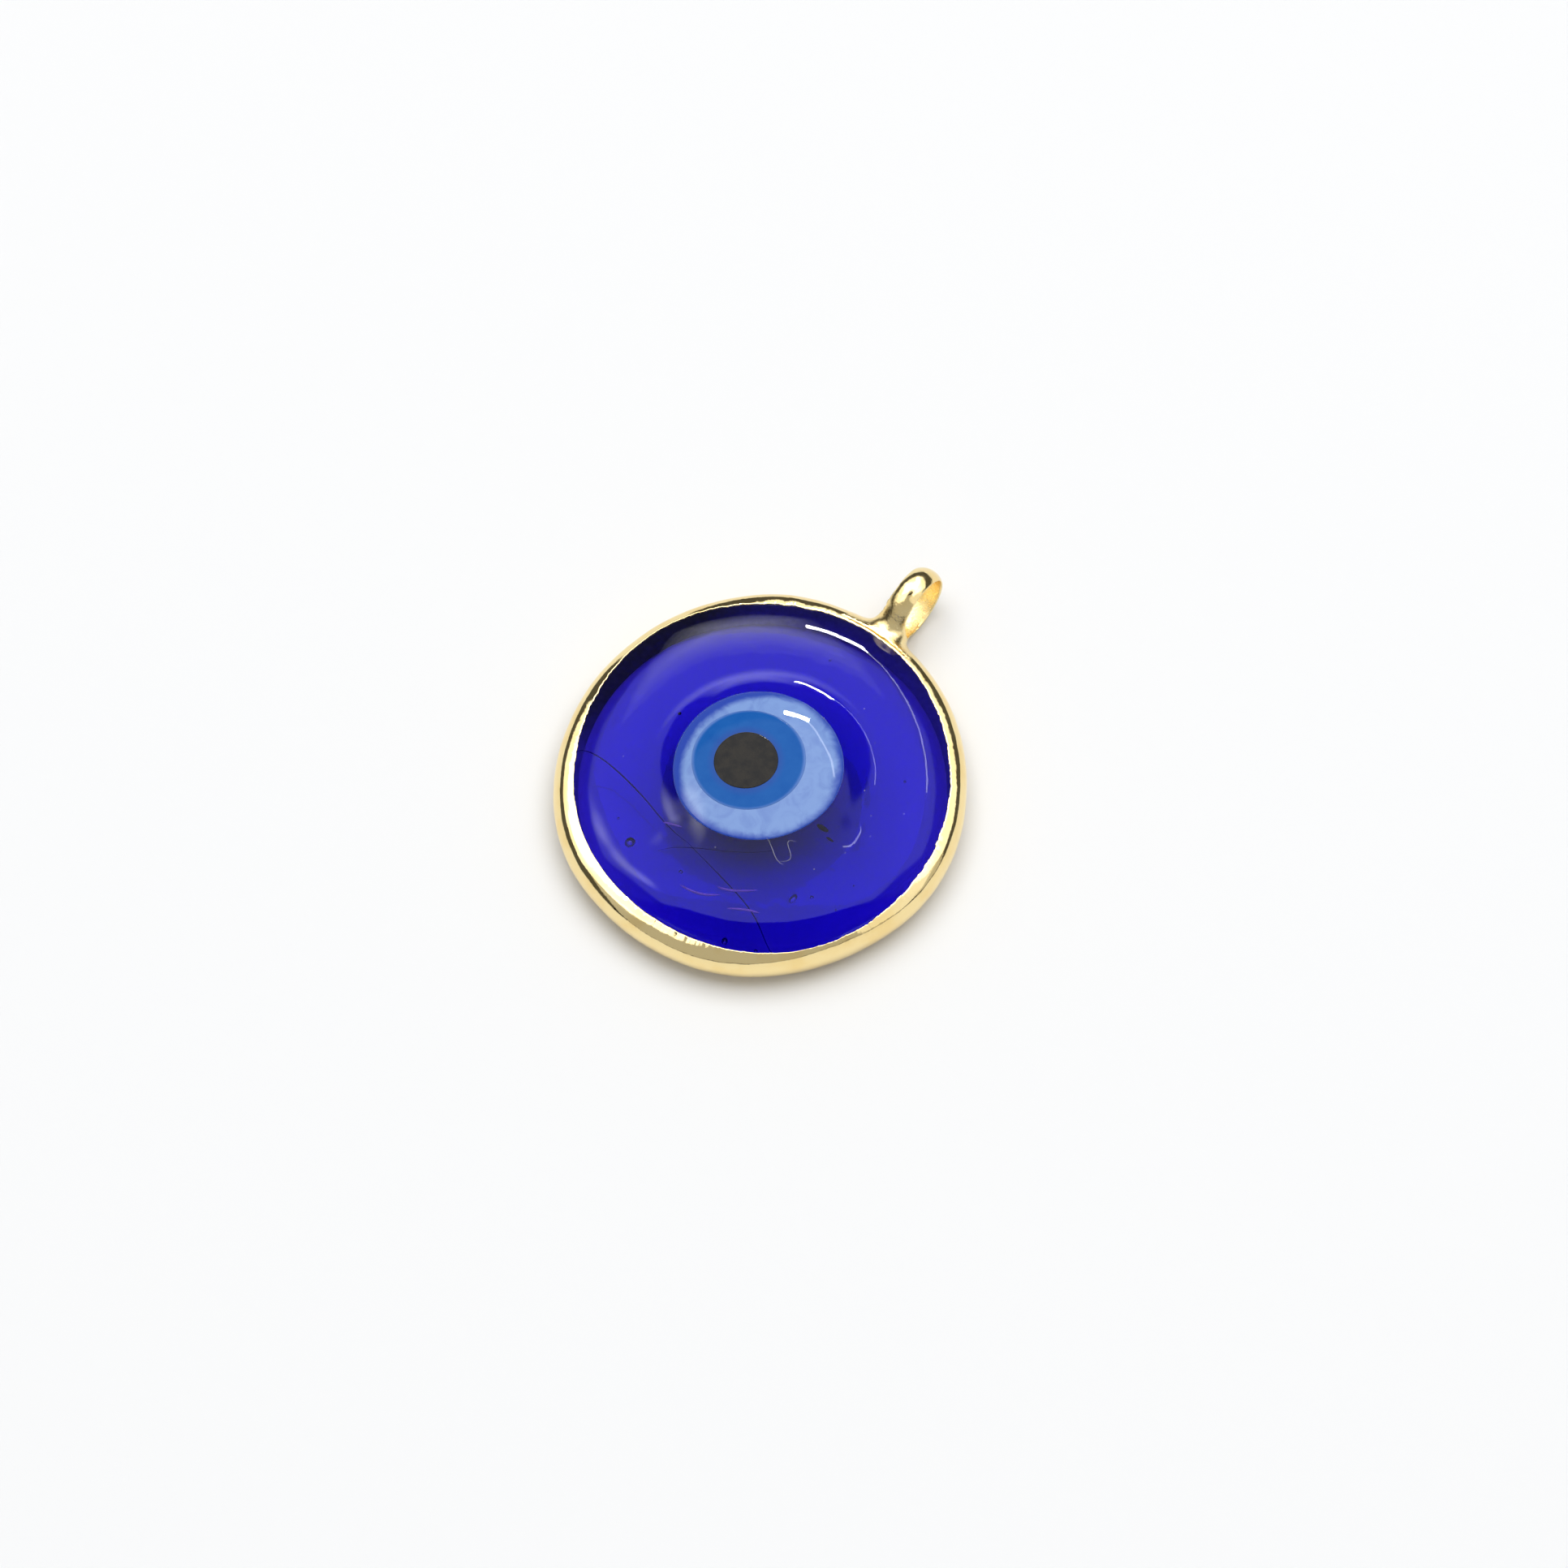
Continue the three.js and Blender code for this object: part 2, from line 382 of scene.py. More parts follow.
def distance_from(tree, where, centre):
    """Distance across the face from the line through a point, along Z."""
    flat = node(tree, "ShaderNodeVectorMath", {0: where, 1: (1, 1, 0)}, operation="MULTIPLY")
    away = node(
        tree,
        "ShaderNodeVectorMath",
        {0: flat.outputs[0], 1: (centre[0], centre[1], 0)},
        operation="DISTANCE",
    )
    return away.outputs["Value"]


GOLD = (0.93, 0.75, 0.38)
DEEP_GOLD = (0.9, 0.69, 0.31)
HOLE_GOLD = (0.9, 0.68, 0.3)


def gold_material(name, deep_colour, roughness, bump_height, grain):
    """Bright plating over a hand-made surface, from its lowest to its highest roughness.
    The bump's height and the width of its grain are in millimetres."""
    material, tree, shader, _ = new_material(name)
    where = place(tree)
    broad = noise_value(tree, where, 1.6, 4)
    fine = noise_value(tree, where, grain, 5, 0.6)
    tone = remap(tree, broad, 0.42, 0.7)
    tree.links.new(blend_colours(tree, tone, GOLD, deep_colour), shader.inputs["Base Color"])
    tree.links.new(remap(tree, fine, 0.4, 0.75, *roughness), shader.inputs["Roughness"])
    shader.inputs["Metallic"].default_value = 1
    bump(tree, shader, maths(tree, "ADD", fine, broad), bump_height)
    return material


SHADED_PAINT_SIDE = (-0.985, 0.174, 0)  # towards the side where the paint is painted darker, as shade
SHADED_PAINT_FROM = (7.4, 9.4)  # how far out on that side it begins and is full


def paint_material():
    """The conductive paint that the metal grew on, seen through the glass. Its pale grey is painted
    light, for the light that gets in under the bead's edge, and towards one side it is painted
    darker, as shade.
    """
    material, tree, shader, _ = new_material("conductive_paint")
    where = place(tree)
    fine = noise_value(tree, where, 0.3, 4)
    # painted shade towards one side and painted light elsewhere, under the bead's edge
    painted_shade = blend_colours(tree, fine, (0.08, 0.075, 0.07), (0.24, 0.21, 0.19))
    painted_light = blend_colours(tree, fine, (0.6, 0.6, 0.6), (0.9, 0.9, 0.9))
    side = direction_part(tree, where, SHADED_PAINT_SIDE)
    colour = blend_colours(tree, remap(tree, side, *SHADED_PAINT_FROM), painted_light, painted_shade)
    tree.links.new(colour, shader.inputs["Base Color"])
    shader.inputs["Roughness"].default_value = 0.5
    return material


GLASS_IOR = 1.52
GLASS_WAVES = 1.4  # from crest to crest of the glass's slight unevenness


def cobalt_material():
    """Clear glass that takes its blue from its depth."""
    material, tree, shader, output = new_material("cobalt_glass")
    shader.inputs["Base Color"].default_value = (1, 1, 1, 1)
    shader.inputs["Roughness"].default_value = 0.0
    shader.inputs["IOR"].default_value = GLASS_IOR
    shader.inputs["Transmission Weight"].default_value = 1
    bump(tree, shader, noise_value(tree, place(tree), GLASS_WAVES, 2), 0.006)
    absorption = node(
        tree,
        "ShaderNodeVolumeAbsorption",
        {"Color": (0.2, 0.02, 0.947, 1), "Density": 700},
    )
    tree.links.new(absorption.outputs["Volume"], output.inputs["Volume"])
    return material


def opal_material(name, make_colour, gloss):
    material, tree, shader, _ = new_material(name)
    where = place(tree)
    tree.links.new(make_colour(tree, where), shader.inputs["Base Color"])
    shader.inputs["Roughness"].default_value = 0.02
    shader.inputs["Specular IOR Level"].default_value = gloss
    shader.inputs["IOR"].default_value = GLASS_IOR
    bump(tree, shader, noise_value(tree, where, GLASS_WAVES, 2), 0.003)
    return material


def eye_circle(node_name, spread):
    """Centre and radius of a layer, which has spread a little where it melted in."""
    low, high = box_mm(node_name)
    centre = (low + high) / 2
    return centre[0], centre[1], spread * (high[0] - low[0]) / 2


WHITE = eye_circle("eye_white_layer", 1.03)
IRIS = eye_circle("iris_layer", 1.02)
PUPIL = eye_circle("pupil_layer", 1.0)

MELTED_SIDE = (-0.99, 0.14, 0)  # where the light blue thins out into the cobalt


def white_colour(tree, where):
    streaks = noise_value(tree, where, 1.1, 4, 0.55, 1.6)
    body = blend_colours(
        tree, remap(tree, streaks, 0.35, 0.75), (0.21, 0.335, 0.66), (0.165, 0.27, 0.6)
    )
    away = distance_from(tree, where, WHITE)
    lean = remap(tree, direction_part(tree, where, MELTED_SIDE), 1.0, 4.5, 0.0, 0.45)
    ragged = maths(tree, "ADD", away, maths(tree, "MULTIPLY", streaks, 0.35))
    ragged = maths(tree, "ADD", ragged, lean)
    edge = remap(tree, ragged, WHITE[2] - 0.35, WHITE[2] + 0.2)
    return blend_colours(tree, edge, body, (0.03, 0.07, 0.42))


def iris_colour(tree, where):
    cloud = noise_value(tree, where, 0.9, 5, 0.6)
    body = blend_colours(tree, cloud, (0.004, 0.08, 0.36), (0.02, 0.13, 0.43))
    away = distance_from(tree, where, IRIS)
    edge = remap(tree, away, IRIS[2] - 0.2, IRIS[2] + 0.06)
    outer = blend_colours(tree, edge, body, (0.13, 0.24, 0.58))
    near_pupil = remap(tree, distance_from(tree, where, PUPIL), PUPIL[2], PUPIL[2] + 0.5, 0.35, 0)
    return blend_colours(tree, near_pupil, outer, (0.05, 0.06, 0.3))


def pupil_colour(tree, where):
    mottle = remap(tree, noise_value(tree, where, 0.8, 6, 0.65), 0.35, 0.65)
    return blend_colours(tree, mottle, (0.008, 0.008, 0.009), (0.022, 0.019, 0.015))


def plain_material(name, colour, roughness):
    material, _, shader, _ = new_material(name)
    shader.inputs["Base Color"].default_value = (*colour, 1)
    shader.inputs["Roughness"].default_value = roughness
    return material


trapped_dirt = plain_material("trapped_dirt", (0.02, 0.015, 0.03), 0.6)
# pale violet strands that stand in for glints of light in the glass: painted light
painted_glints = plain_material("painted_glints", (0.5, 0.25, 1.0), 0.6)
dust = plain_material("dust", (0.6, 0.58, 0.56), 0.8)
rim_gold = gold_material("gold_rim", DEEP_GOLD, (0.03, 0.14), 0.004, 0.22)
loop_gold = gold_material("gold_loop", DEEP_GOLD, (0.03, 0.2), 0.006, 0.16)
neck_gold = gold_material("gold_neck", DEEP_GOLD, (0.05, 0.3), 0.015, 0.14)
hole_gold = gold_material("gold_hole", HOLE_GOLD, (0.25, 0.45), 0.03, 0.12)
paint = paint_material()
cobalt = cobalt_material()


# ---- what is trapped in the glass or lies on it, and pale strands in it that are painted glints, by x, y and z ----

BUBBLES = [  # centre, radius and stretch along y
    (-3.2, -7.4, 2.4, 0.29, 1),
    (0, -7.1, 2.0, 0.11, 1),
    (4.0, -8.5, 2.0, 0.16, 1),
    (5.6, -8.0, 2.0, 0.1, 1),
    (6.4, -4.2, 2.2, 0.1, 1),
    (7.7, -3.9, 2.0, 0.06, 1),
    (7.7, -2.3, 2.0, 0.05, 1),
    (6.2, 4.3, 2.0, 0.07, 1),
    (-1.3, 7.7, 2.0, 0.07, 1),
    (-4.6, -6.6, 2.2, 0.07, 1),
    (5.7, -4.9, 2.4, 0.17, 1.8),
]
SPECKS = [  # centre, radius and stretch
    (-5.6, 0.1, 2.8, 0.1, (1, 1, 0.6)),
    (4.4, -0.8, 2.6, 0.16, (2.2, 0.9, 0.6)),
    (5.1, -1.1, 2.6, 0.1, (2.4, 0.7, 0.6)),
]
DARK_STREAKS = [  # thickness and places along it
    (0.035, [(-8.8, -4.6, 1.9), (-6.8, -4.3, 1.9), (-3.4, -5.0, 1.9), (-0.7, -5.4, 1.9)]),
    (0.03, [(-0.7, -5.4, 1.9), (2.3, -6.1, 1.9), (4.6, -6.8, 1.9), (6.7, -7.8, 1.9)]),
    (0.018, [(-1.7, -6.9, 2.2), (-0.1, -5.5, 2.2), (1.5, -4.5, 2.2), (3.1, -3.2, 2.2)]),
]
# pale strands that are painted glints of light, with the thickness and places along each
PAINTED_GLINT_STREAKS = [
    (0.07, [(0.6, -8.0, 3.1), (1.7, -7.8, 3.1), (2.6, -7.2, 3.1)]),
    (0.08, [(2.2, -6.9, 3.1), (3.0, -6.6, 3.1), (4.0, -5.8, 3.1)]),
    (0.07, [(3.4, -7.6, 3.1), (4.2, -7.1, 3.1), (4.9, -6.8, 3.1)]),
    (0.07, [(-2.4, -5.6, 3.1), (-1.9, -5.4, 3.1), (-1.3, -5.2, 3.1)]),
]
FIBRES = [  # thickness and places on the face
    (0.009, [(2.9, -3.5), (3.5, -3.8), (4.0, -4.1), (4.5, -4.1)]),
    (0.009, [(4.3, -2.7), (4.0, -3.1), (4.5, -3.5), (4.2, -4.1)]),
]
DUST = [  # places on the face
    (5.2, 2.1),
    (6.3, 1.2),
    (7.0, 0.2),
    (6.6, -1.5),
    (3.9, 4.8),
    (2.2, 6.1),
    (7.6, 2.4),
    (1.0, -5.5),
    (5.9, -3.3),
    (-6.4, -3.9),
]
BALL_TURNS = 16
BALL_RINGS = 9
THREAD_TURNS = 6
THREAD_STEPS = 8  # between two places
THREAD_TIP = 0.05  # how blunt its ends are
DUST_SIZE = 0.025
DUST_RISE = 0.01  # of a grain's centre over the face


# ---- bead ----


def angles_around(turns):
    return np.arange(turns) * 2 * math.pi / turns


def turned_rings(sections, angles):
    """Rings of points round the axis. There is one section for each angle, and each point
    of a section is a radius and a height."""
    radius = sections[..., 0].T
    height = sections[..., 1].T
    return np.stack([radius * np.cos(angles), radius * np.sin(angles), height], -1)


def bead_section(angle):
    """Half a cross-section, from the flat back round the edge to the middle of the face."""
    edge = float(lip_radius(angle))
    flat = [(r, 0.0) for r in np.linspace(BACK_POLE, FLAT_BACK, BACK_POINTS)]
    edge_low = RIM_CENTRE - EDGE_HALF_HEIGHT
    part = np.linspace(0, 1, BEVEL_POINTS + 1)[1:]
    rise = [(FLAT_BACK + p * (edge - FLAT_BACK), edge_low * p**2) for p in part]
    turn = np.linspace(-math.pi / 2, math.pi / 2, EDGE_POINTS + 1)[1:]
    depth = float(edge_depth(angle))
    wall = [
        (edge + depth * math.cos(t), RIM_CENTRE + EDGE_HALF_HEIGHT * math.sin(t)) for t in turn
    ]
    radii = edge * np.linspace(1, 0, FACE_POINTS + 2)[1:-1]
    heights = face_height(radii * math.cos(angle), radii * math.sin(angle))
    return flat + rise + wall + list(zip(radii, heights))


def ripple(points):
    """How far each point of the bead's face stands off, because it is hand-made."""
    uneven = 0.012 * bumps(points, 3.2, 1) + 0.003 * bumps(points, 0.9, 2)
    return smooth(points[:, 2], *RIPPLE_FROM) * uneven


def ball(centre, radius, stretch):
    """A closed ball, stretched along x, y and z."""
    rises = np.linspace(-math.pi / 2, math.pi / 2, BALL_RINGS + 2)[1:-1]
    angles = angles_around(BALL_TURNS)
    sections = np.array([[(math.cos(rise), math.sin(rise)) for rise in rises]] * BALL_TURNS)
    points, faces = capped_rings(turned_rings(sections, angles))
    return points * radius * np.array(stretch) + centre, faces


def thread(path, thickness):
    """A fine closed strand through a few places, tapering to both ends."""
    path = np.array(path, float)
    stops = np.arange(len(path))
    places = np.linspace(0, len(path) - 1, THREAD_STEPS * (len(path) - 1) + 1)
    order = min(3, len(path) - 1)
    curve = np.stack(
        [np.polyval(np.polyfit(stops, path[:, axis], order), places) for axis in range(3)], -1
    )
    ahead = np.gradient(curve, axis=0)
    ahead /= np.linalg.norm(ahead, axis=1)[:, None]
    aside = np.cross(ahead, (0, 0, 1))
    aside /= np.linalg.norm(aside, axis=1)[:, None]
    above = np.cross(aside, ahead)
    taper = np.sqrt(np.sin(np.linspace(THREAD_TIP, math.pi - THREAD_TIP, len(curve))))
    turn = angles_around(THREAD_TURNS)
    rings = []
    for centre, side, top, part in zip(curve, aside, above, taper):
        round_it = np.cos(turn)[:, None] * side + np.sin(turn)[:, None] * top
        rings.append(centre + thickness * part * round_it)
    return capped_rings(np.array(rings))


def joined(parts):
    """Several closed shells as one mesh, with the material slot of every face."""
    points, faces, slots = [], [], []
    start = 0
    for part_points, part_faces, slot in parts:
        points.append(part_points)
        faces.extend([tuple(start + i for i in face) for face in part_faces])
        slots.extend([slot] * len(part_faces))
        start += len(part_points)
    return np.vstack(points), faces, slots


CLEAR, DIRT, GLINT, LINT = range(4)  # the bead's materials, in the order of its slots


def trapped_parts():
    """Bubbles, specks and dark streaks inside the glass, and pale strands there that are painted
    glints of light. A bubble is a hollow, so it faces in.
    """
    for x, y, z, radius, stretch in BUBBLES:
        points, faces = ball((x, y, z), radius, (1, stretch, 1))
        yield points, [face[::-1] for face in faces], CLEAR
    for x, y, z, radius, stretch in SPECKS:
        yield *ball((x, y, z), radius, stretch), DIRT
    for thickness, path in DARK_STREAKS:
        yield *thread(path, thickness), DIRT
    # the pale strands are painted glints of light
    for thickness, path in PAINTED_GLINT_STREAKS:
        yield *thread(path, thickness), GLINT


def lying_parts():
    """Hairs and grains of dust on the face."""
    for thickness, path in FIBRES:
        lying = [(x, y, float(face_height(x, y)) + thickness) for x, y in path]
        yield *thread(lying, thickness), LINT
    for x, y in DUST:
        centre = (x, y, float(face_height(x, y)) + DUST_RISE)
        yield *ball(centre, DUST_SIZE, (1, 1, 1)), LINT


def build_bead():
    angles = angles_around(BEAD_TURNS)
    rings = turned_rings(np.array([bead_section(a) for a in angles]), angles)
    points, faces = capped_rings(rings)
    points[:, 2] += ripple(points)
    points, faces, slots = joined([(points, faces, CLEAR), *trapped_parts(), *lying_parts()])
    materials = [cobalt, trapped_dirt, painted_glints, dust]
    piece = make_object("cobalt_glass_bead", points, faces, materials, slots)
    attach(piece, "root")
    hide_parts("glass_base")
    return piece


# ---- eye ----


def melted_outline(radius, waves):
    """Radius of a layer at each angle, from the share and direction of each of its waves."""
    angles = angles_around(LAYER_TURNS)
    (oval, oval_angle), (three, three_angle) = waves
    outline = radius * (1 + oval * np.cos(2 * (angles - math.radians(oval_angle))))
    return outline + radius * three * np.cos(3 * (angles - math.radians(three_angle)))


def build_layer(name, node_name, circle, waves, proud, material):
    """One dot of opal glass: its top follows the bead's face, its underside is a bowl."""
    bottom = box_mm(node_name)[0][2]
    x, y, radius = circle
    angles = angles_around(LAYER_TURNS)
    outline = melted_outline(radius, waves)
    under = []
    top = []
    for part in np.linspace(0, 1, LAYER_RINGS + 1)[1:]:
        across = part * outline
        px = x + across * np.cos(angles)
        py = y + across * np.sin(angles)
        height = face_height(px, py)
        above = np.stack([px, py, height], -1)
        above[:, 2] += ripple(above) + proud
        top.append(above)
        below = above.copy()
        depth = (height.mean() - bottom) * math.sqrt(max(0.0, 1 - part**2))
        below[:, 2] = height + proud - LAYER_EDGE - np.minimum(depth, height - bottom)
        under.append(below)
    points, faces = capped_rings(np.array(under + top[::-1]))
    piece = make_object(name, points, faces, [material])
    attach(piece, "root")
    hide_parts(node_name)


# ---- rim ----


def rim_arc(lip, outer):
    """Bulging arc between the lips, as radius and height."""
    bulge = outer - lip
    arc = (RIM_HALF_HEIGHT**2 + bulge**2) / (2 * bulge)
    centre = outer - arc
    reach = math.asin(RIM_HALF_HEIGHT / arc)
    turn = np.linspace(-reach, reach, RIM_ARC_POINTS)
    return np.stack([centre + arc * np.cos(turn), RIM_CENTRE + arc * np.sin(turn)], -1)


def rim_section(angle, creep, dent):
    """Cross-section of the rim: its outside up to the upper lip, which creeps in over the
    glass, then the channel round the bead's edge and the lower lip."""
    lip = float(lip_radius(angle))
    outer = float(rim_radius(angle)) + dent
    outside = rim_arc(lip, outer)
    end = lip - creep
    glass = float(face_height(end * math.cos(angle), end * math.sin(angle)))
    end_height = glass + LIP_THICKNESS
    pull = smooth(np.linspace(0, 1, RIM_ARC_POINTS), LIP_START, 1.0)
    outside[:, 0] += pull * (end - outside[-1, 0])
    outside[:, 1] += pull * (end_height - outside[-1, 1])
    edge = (end - LIP_EDGE[0], end_height - LIP_EDGE[1])
    heel = (end + LIP_HEEL[0], end_height - LIP_HEEL[1])
    turn = np.linspace(math.pi / 2, -math.pi / 2, CHANNEL_POINTS)
    depth = float(edge_depth(angle)) - SEAT
    tall = EDGE_HALF_HEIGHT - SEAT
    channel = [(lip + depth * math.cos(t), RIM_CENTRE + tall * math.sin(t)) for t in turn]
    bevel = RIM_CENTRE - EDGE_HALF_HEIGHT
    below = [(FLAT_BACK + p * (lip - FLAT_BACK), bevel * p**2 + SEAT) for p in LOWER_LIP]
    tip = (below[-1][0] - SEAT, below[-1][1] - 2 * SEAT)
    return [*outside, edge, heel, *channel, *below, tip]


def lip_creep(angles, around):
    """How far the upper lip creeps in over the glass, ragged on all but the smooth side."""
    creep = 0.05 + 0.05 * bumps(around, 0.9, 3) + 0.045 * bumps(around, 0.28, 4)
    creep = creep + 0.07 * np.abs(bumps(around, 0.13, 9))
    towards_smooth = np.cos(angles) * SMOOTH_LIP[0] + np.sin(angles) * SMOOTH_LIP[1]
    return creep * (1 - 0.75 * smooth(towards_smooth, 0.3, 0.8))


def build_rim():
    angles = angles_around(RIM_TURNS)
    around = np.stack([np.cos(angles), np.sin(angles), 0 * angles], -1) * LIP_CIRCLE
    creep = lip_creep(angles, around)
    dent = 0.035 * bumps(around, 2.6, 5)
    sections = np.array([rim_section(a, c, d) for a, c, d in zip(angles, creep, dent)])
    rings = turned_rings(sections, angles)
    points = rings.reshape(-1, 3)
    outside = RIM_ARC_POINTS * RIM_TURNS
    radial = points[:outside] * (1, 1, 0)
    radial /= np.linalg.norm(radial, axis=1)[:, None]
    points[:outside] += radial * (0.012 * bumps(points[:outside], 0.9, 6))[:, None]
    count = sections.shape[1]
    faces = ring_faces(count, RIM_TURNS, closed=True)
    face_ring = np.repeat(np.arange(count), RIM_TURNS)
    painted = ((face_ring > RIM_ARC_POINTS) & (face_ring < count - 1)).astype(int)
    piece = make_object("gold_rim", points, faces, [rim_gold, paint], painted)
    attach(piece, "root")
    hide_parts("rim_bezel")
    return piece


# ---- hanging loop ----


def loop_crown_arc():
    edge = LOOP_HOLE + LOOP_EDGE
    rise = LOOP_CROWN - edge
    arc = (LOOP_HALF_WIDTH**2 + rise**2) / (2 * rise)
    return arc, LOOP_CROWN - arc


def loop_section():
    """Half-round wire as distance from the loop's centre and place along its axis."""
    arc, centre = loop_crown_arc()
    reach = math.asin(LOOP_HALF_WIDTH / arc)
    turn = np.linspace(-reach, reach, CROWN_POINTS)
    crown = [(centre + arc * math.cos(t), arc * math.sin(t)) for t in turn]
    land = LOOP_HALF_WIDTH - LOOP_EDGE
    across = np.linspace(land, -land, HOLE_POINTS)
    inside = [(LOOP_HOLE + LOOP_BOW * (w / land) ** 2 - LOOP_BOW / 2, w) for w in across]
    return crown + inside


def build_loop():
    angles = angles_around(LOOP_TURNS)
    section = np.array(loop_section())
    rings = []
    for distance, along in section:
        rings.append(
            np.stack(
                [
                    LOOP_CENTRE[0] + along + 0 * angles,
                    LOOP_CENTRE[1] + distance * np.cos(angles),
                    LOOP_CENTRE[2] + distance * np.sin(angles),
                ],
                -1,
            )
        )
    points = np.array(rings).reshape(-1, 3)
    out = (points - LOOP_CENTRE) * (0.6, 1, 1)  # mostly away from the ring's axis
    out /= np.linalg.norm(out, axis=1)[:, None]
    points += out * (0.02 * bumps(points, 1.3, 7) + 0.006 * bumps(points, 0.3, 8))[:, None]
    faces = ring_faces(len(section), LOOP_TURNS, closed=True)
    face_ring = np.repeat(np.arange(len(section)), LOOP_TURNS)
    inside = (face_ring >= CROWN_POINTS).astype(int)
    piece = make_object("gold_hanging_loop", points, faces, [loop_gold, hole_gold], inside)
    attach(piece, "root")
    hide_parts("hanging_loop")
    return piece


# ---- neck ----


def surface_nets(field, low, step):
    """Points and quads of the surface where a sampled field is zero, with the inside
    where it is negative."""
    inside = field < 0
    cells = tuple(n - 1 for n in field.shape)
    total = np.zeros(cells + (3,))
    count = np.zeros(cells)
    crossings = []
    for axis in range(3):
        near = [slice(None)] * 3
        far = [slice(None)] * 3
        near[axis] = slice(0, -1)
        far[axis] = slice(1, None)
        near, far = tuple(near), tuple(far)
        crossed = inside[near] != inside[far]
        gap = np.where(crossed, field[near] - field[far], 1)
        part = np.where(crossed, field[near] / gap, 0)
        crossings.append((crossed, inside[near]))
        u, v = (axis + 1) % 3, (axis + 2) % 3
        for du in (0, 1):
            for dv in (0, 1):
                window = [slice(None)] * 3
                window[u] = slice(du, du + cells[u])
                window[v] = slice(dv, dv + cells[v])
                here = crossed[tuple(window)]
                total[..., axis] += part[tuple(window)] * here
                total[..., u] += du * here
                total[..., v] += dv * here
                count += here
    used = count > 0
    index = np.full(cells, -1)
    index[used] = np.arange(used.sum())
    corner = np.stack(np.meshgrid(*[np.arange(n) for n in cells], indexing="ij"), -1)
    points = low + step * (corner[used] + total[used] / count[used][:, None])
    faces = []
    for axis, (crossed, from_inside) in enumerate(crossings):
        u, v = (axis + 1) % 3, (axis + 2) % 3
        for edge in np.argwhere(crossed):
            if not (0 < edge[u] < cells[u] and 0 < edge[v] < cells[v]):
                continue
            quad = []
            for du, dv in ((1, 1), (0, 1), (0, 0), (1, 0)):
                cell = edge.copy()
                cell[u] -= du
                cell[v] -= dv
                quad.append(index[tuple(cell)])
            faces.append(quad if from_inside[tuple(edge)] else quad[::-1])
    return points, faces


def blended(first, second, reach):
    part = np.maximum(reach - np.abs(first - second), 0) / reach
    return np.minimum(first, second) - part**2 * reach / 4


def neck_field(x, y, z):
    """Negative inside the metal where the rim and the loop flow together."""
    angle = np.arctan2(y, x)
    radius = np.hypot(x, y)
    lip = lip_radius(angle)
    outer = rim_radius(angle)
    bulge = outer - lip
    arc = (RIM_HALF_HEIGHT**2 + bulge**2) / (2 * bulge)
    rim = np.hypot(radius - (outer - arc), z - RIM_CENTRE) - arc
    loop_arc, loop_arc_centre = loop_crown_arc()
    reach = np.hypot(y - LOOP_CENTRE[1], z - LOOP_CENTRE[2])
    loop = np.hypot(reach - loop_arc_centre, x - LOOP_CENTRE[0]) - loop_arc
    metal = blended(rim, loop, NECK_BLEND)
    along, beyond, above = NECK_CENTRE
    from_neck = np.sqrt((x - along) ** 2 + (y - beyond) ** 2 + (z - above) ** 2)
    metal = metal - NECK_SKIN + NECK_FADE * smooth(from_neck, NECK_TAPER, NECK_REACH)
    metal = np.maximum(metal, LOOP_HOLE + NECK_SKIN - reach)
    channel = np.hypot((radius - lip) / EDGE_DEPTH, (z - RIM_CENTRE) / EDGE_HALF_HEIGHT)
    metal = np.maximum(metal, EDGE_DEPTH * (NECK_ROOM - channel))
    metal = np.maximum(metal, lip + NECK_CLEAR - radius)
    return np.maximum(metal, from_neck - NECK_REACH)


def build_neck():
    low = np.array(NECK_LOW)
    counts = np.ceil((np.array(NECK_HIGH) - low) / NECK_STEP).astype(int) + 1
    axes = [low[i] + NECK_STEP * np.arange(counts[i]) for i in range(3)]
    field = neck_field(*np.meshgrid(*axes, indexing="ij"))
    points, faces = surface_nets(field, low, NECK_STEP)
    piece = make_object("gold_loop_neck", points, faces, [neck_gold])
    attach(piece, "root")
    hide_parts("loop_neck")
    return piece


# ---- studio ----


def studio_direction(azimuth, elevation):
    """Azimuth turns anticlockwise from the camera's right, seen from above."""
    turn = math.radians(azimuth + CAMERA_AZIMUTH)
    rise = math.radians(elevation)
    return Vector(
        (math.cos(turn) * math.cos(rise), math.sin(turn) * math.cos(rise), math.sin(rise))
    )


KEY = 2.95  # radiance of the big softbox
FILL = 0.49  # radiance of the surroundings on matt surfaces
BACKDROP = 0.94  # what the camera sees past the floor
WALL_AZIMUTH = 94  # of the middle of the pale wall
WALL_EDGE = (108, 116)  # degrees to each side of there over which it ends
WALL_FOOT = (0.66, 0.72)  # heights between which the dark band gives way to the wall
WALL_LEVELS = (0.09, 0.7)  # radiance of the dark band and of the wall
SKY_PATCH = (160, 52, 8, 12, 10)  # a brighter one: azimuth, elevation, width, height, softness
SKY_PATCH_LEVEL = 2.4
FLOOR_HALF = 1500
FLOOR_HEIGHT = -0.03


def build_floor():
    signs = ((-1, -1), (1, -1), (1, 1), (-1, 1))
    points = [(x * FLOOR_HALF, y * FLOOR_HALF, FLOOR_HEIGHT) for x, y in signs]
    material, _, shader, _ = new_material("studio_floor")
    shader.inputs["Base Color"].default_value = (0.845, 0.85, 0.855, 1)
    shader.inputs["Roughness"].default_value = 0.9
    shader.inputs["Specular IOR Level"].default_value = 0.1
    make_object("floor", points, [(0, 1, 2, 3)], [material])


